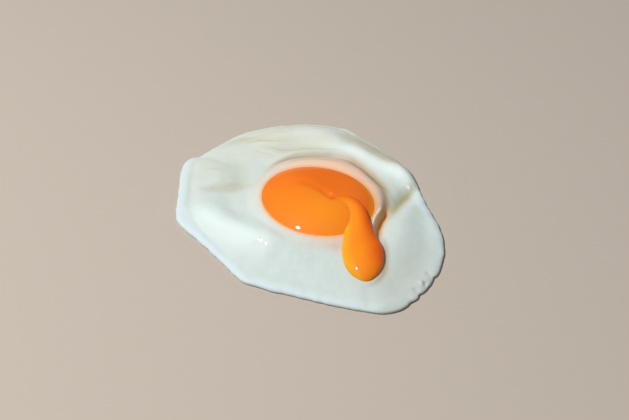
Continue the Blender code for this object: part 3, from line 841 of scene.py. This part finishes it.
def egg_material(name, gloss, coat, depth_mm, depth_by_colour, scatter):
    """A new Principled material of cloudy wet egg. Returns it with its tree and shader."""
    made = bpy.data.materials.new(name)
    made.use_nodes = True
    tree = made.node_tree
    shader = tree.nodes["Principled BSDF"]
    shader.inputs["Roughness"].default_value = 0.55
    shader.inputs["Specular IOR Level"].default_value = gloss
    shader.inputs["Coat Weight"].default_value = coat
    shader.inputs["Coat Roughness"].default_value = COAT_ROUGHNESS
    shader.inputs["Subsurface Weight"].default_value = scatter
    shader.inputs["Subsurface Radius"].default_value = depth_by_colour
    shader.inputs["Subsurface Scale"].default_value = depth_mm * MM
    return made, tree, shader


def add_cloudiness(tree, colour, cloudy, size_mm, amount):
    cloud = tree.nodes.new("ShaderNodeGroup")
    cloud.node_tree = cloudiness
    cloud.inputs["Colour"].default_value = (*colour, 1)
    cloud.inputs["Cloudy Colour"].default_value = (*cloudy, 1)
    cloud.inputs["Patch Size mm"].default_value = size_mm
    cloud.inputs["Amount"].default_value = amount
    return cloud.outputs["Colour"]


def paint_over(tree, under, mark, colour, strength):
    """Mixes a colour over what is under it, where the mark on the points says so."""
    read = tree.nodes.new("ShaderNodeAttribute")
    read.attribute_name = mark
    share = tree.nodes.new("ShaderNodeMath")
    share.operation = "MULTIPLY"
    share.use_clamp = True
    share.inputs[1].default_value = strength
    tree.links.new(read.outputs["Fac"], share.inputs[0])
    mix = tree.nodes.new("ShaderNodeMix")
    mix.data_type = "RGBA"
    tree.links.new(share.outputs[0], mix.inputs["Factor"])
    tree.links.new(under, mix.inputs["A"])
    mix.inputs["B"].default_value = (*colour, 1)
    return mix.outputs["Result"]


def add_ripple(tree, shader, size_mm, height_mm):
    ripple = tree.nodes.new("ShaderNodeGroup")
    ripple.node_tree = wet_ripple
    ripple.inputs["Ripple Size mm"].default_value = size_mm
    bump = tree.nodes.new("ShaderNodeBump")
    bump.inputs["Distance"].default_value = height_mm * MM
    tree.links.new(ripple.outputs["Height"], bump.inputs["Height"])
    tree.links.new(bump.outputs["Normal"], shader.inputs["Normal"])


def wet_by_mark(tree, shader, mark, coat):
    """Makes the coat as strong as a mark says."""
    read = tree.nodes.new("ShaderNodeAttribute")
    read.attribute_name = mark
    share = tree.nodes.new("ShaderNodeMath")
    share.operation = "MULTIPLY"
    share.inputs[1].default_value = coat
    tree.links.new(read.outputs["Fac"], share.inputs[0])
    tree.links.new(share.outputs[0], shader.inputs["Coat Weight"])


# %% Finish the white
egg_white, tree, shader = egg_material("egg_white", 0.2, 0.4, 1.2, (1.0, 0.9, 0.8), 0.45)
colour = add_cloudiness(tree, (0.65, 0.735, 0.705), (0.62, 0.70, 0.665), 7, 0.6)
for mark, paint, strength in (
    ("warm", (0.73, 0.73, 0.60), 0.75),
    # painted light: lighter where the white faces the lamp
    ("lit_white", (0.83, 0.94, 0.93), 0.85),
    # painted shade: darker in the dents and on the sheet that faces away from the lamp
    ("shaded_white", (0.51, 0.55, 0.50), 0.8),
    # beige, partly painted shade in the creases and on the slopes away from the lamp
    ("beige_and_shade", (0.60, 0.58, 0.43), 0.85),
    # painted shade: dark olive in the crease where the big fold ends
    ("crease_shade", (0.485, 0.455, 0.25), 0.9),
    ("thin", (0.66, 0.77, 0.84), 0.7),
    ("film", (0.93, 0.60, 0.43), 0.95),
    ("film_edge", (0.70, 0.52, 0.42), 0.9),
    # painted shade: tan-brown in the groove, the film's steps and beside the run
    ("groove_shade", (0.46, 0.335, 0.18), 0.92),
    # the yolk's orange in the hollow, darkened with painted shade
    ("hollow_tint_and_shade", (0.74, 0.33, 0.075), 0.95),
    # painted highlights: pale glints on the lips
    ("painted_glint", (1.0, 0.90, 0.80), 0.9),
    ("stain", (0.90, 0.42, 0.13), 0.9),
):
    colour = paint_over(tree, colour, mark, paint, strength)
tree.links.new(colour, shader.inputs["Base Color"])
wet_by_mark(tree, shader, "wet", 0.4)
add_ripple(tree, shader, 4, 0.02)
white.data.materials.append(egg_white)

# %% Finish the yolk and the run
yolk_skin, tree, shader = egg_material("yolk_skin", 0.1, 0.3, 0.8, (1.0, 0.4, 0.1), 0.4)
colour = add_cloudiness(tree, (1.0, 0.225, 0.011), (1.0, 0.205, 0.010), 8, 0.5)
for mark, paint, strength in (
    # painted light: a lighter orange on the front that faces the lamp
    ("lit_front", (1.0, 0.31, 0.015), 0.75),
    # darker orange behind the crease, partly painted shade
    ("sunk_and_shaded", (0.88, 0.165, 0.008), 0.9),
    # painted light: a lighter orange along the right-hand rim
    ("rim_light", (0.90, 0.31, 0.015), 0.7),
    # painted shade: dark red in the crease, beside the run and at the tear
    ("yolk_shade", (0.80, 0.11, 0.005), 0.75),
    ("blister", (0.95, 0.30, 0.03), 0.9),
):
    colour = paint_over(tree, colour, mark, paint, strength)
tree.links.new(colour, shader.inputs["Base Color"])
add_ripple(tree, shader, 5, 0.015)
yolk.data.materials.append(yolk_skin)

liquid_yolk, tree, shader = egg_material("liquid_yolk", 0.1, 0.3, 0.8, (1.0, 0.4, 0.1), 0.4)
colour = add_cloudiness(tree, (1.0, 0.285, 0.012), (1.0, 0.26, 0.011), 6, 0.4)
for mark, paint, strength in (
    # yellower on the thin left side, partly painted light where it faces the lamp
    ("thin_and_lit_margin", (0.92, 0.41, 0.014), 0.9),
    # painted shade: dark red on the steep right side, away from the lamp
    ("shaded_flank", (0.86, 0.115, 0.005), 0.95),
    ("start", (0.92, 0.20, 0.008), 0.8),
):
    colour = paint_over(tree, colour, mark, paint, strength)
tree.links.new(colour, shader.inputs["Base Color"])
add_ripple(tree, shader, 5, 0.015)
run.data.materials.append(liquid_yolk)

# %% Put the pieces in the frame
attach(white, "root")
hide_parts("white")
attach(yolk, "root")
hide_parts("yolk")
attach(run, "root")
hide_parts("yolk_run")

# %% [markdown]
# ## Floor, light and camera
#
# A plain pale floor, one small bright lamp high on the left, which makes the tiny glints of a wet
# surface, and a lot of soft light from everywhere else.

# %% Floor
bpy.ops.mesh.primitive_plane_add(size=6)
floor = bpy.context.object
floor.name = "floor"
floor_paint = bpy.data.materials.new("floor_paint")
floor_paint.use_nodes = True
floor_shader = floor_paint.node_tree.nodes["Principled BSDF"]
floor_shader.inputs["Base Color"].default_value = (0.52, 0.45, 0.385, 1)
floor_shader.inputs["Roughness"].default_value = 0.8
floor.data.materials.append(floor_paint)

# %% Light
def lamp(name, towards, distance, size, watts, colour=(1, 1, 1)):
    """A round area lamp in the direction towards, aimed at the yolk."""
    data = bpy.data.lights.new(name, "AREA")
    data.shape = "DISK"
    data.size = size
    data.energy = watts
    data.color = colour
    made = bpy.data.objects.new(name, data)
    direction = Vector(towards).normalized()
    made.location = YOLK_MIDDLE + direction * distance
    made.rotation_euler = direction.to_track_quat("Z", "Y").to_euler()
    bpy.context.scene.collection.objects.link(made)
    return made


lamp("key_lamp", (-0.47, -0.14, 0.87), 1.2, 0.06, 13.5)
fill = lamp("window", (0.75, 0.50, 0.38), 1.2, 0.25, 1.5, (0.78, 0.90, 1.0))
fill.visible_glossy = False  # it only lightens the shadows and isn't mirrored in the wet surface
world = bpy.data.worlds.new("soft_room")
world.use_nodes = True
sky = world.node_tree.nodes["Background"]
sky.inputs["Color"].default_value = (1.0, 0.98, 0.94, 1)
sky.inputs["Strength"].default_value = 0.17
bpy.context.scene.world = world
bpy.context.scene.view_settings.view_transform = "Standard"

# %% Camera
CAMERA_LENS = 85
CAMERA_DISTANCE = 579 * MM
CAMERA_ELEVATION = math.radians(40)
CAMERA_AIM = Vector((-1.4, -2.4, 5.7)) * MM  # from the yolk's middle
camera_data = bpy.data.cameras.new("camera")
camera_data.lens = CAMERA_LENS
camera = bpy.data.objects.new("camera", camera_data)
back = Vector((0, -math.cos(CAMERA_ELEVATION), math.sin(CAMERA_ELEVATION)))
camera.location = YOLK_MIDDLE + CAMERA_AIM + back * CAMERA_DISTANCE
camera.rotation_euler = (math.pi / 2 - CAMERA_ELEVATION, 0, 0)
bpy.context.scene.collection.objects.link(camera)
bpy.context.scene.camera = camera
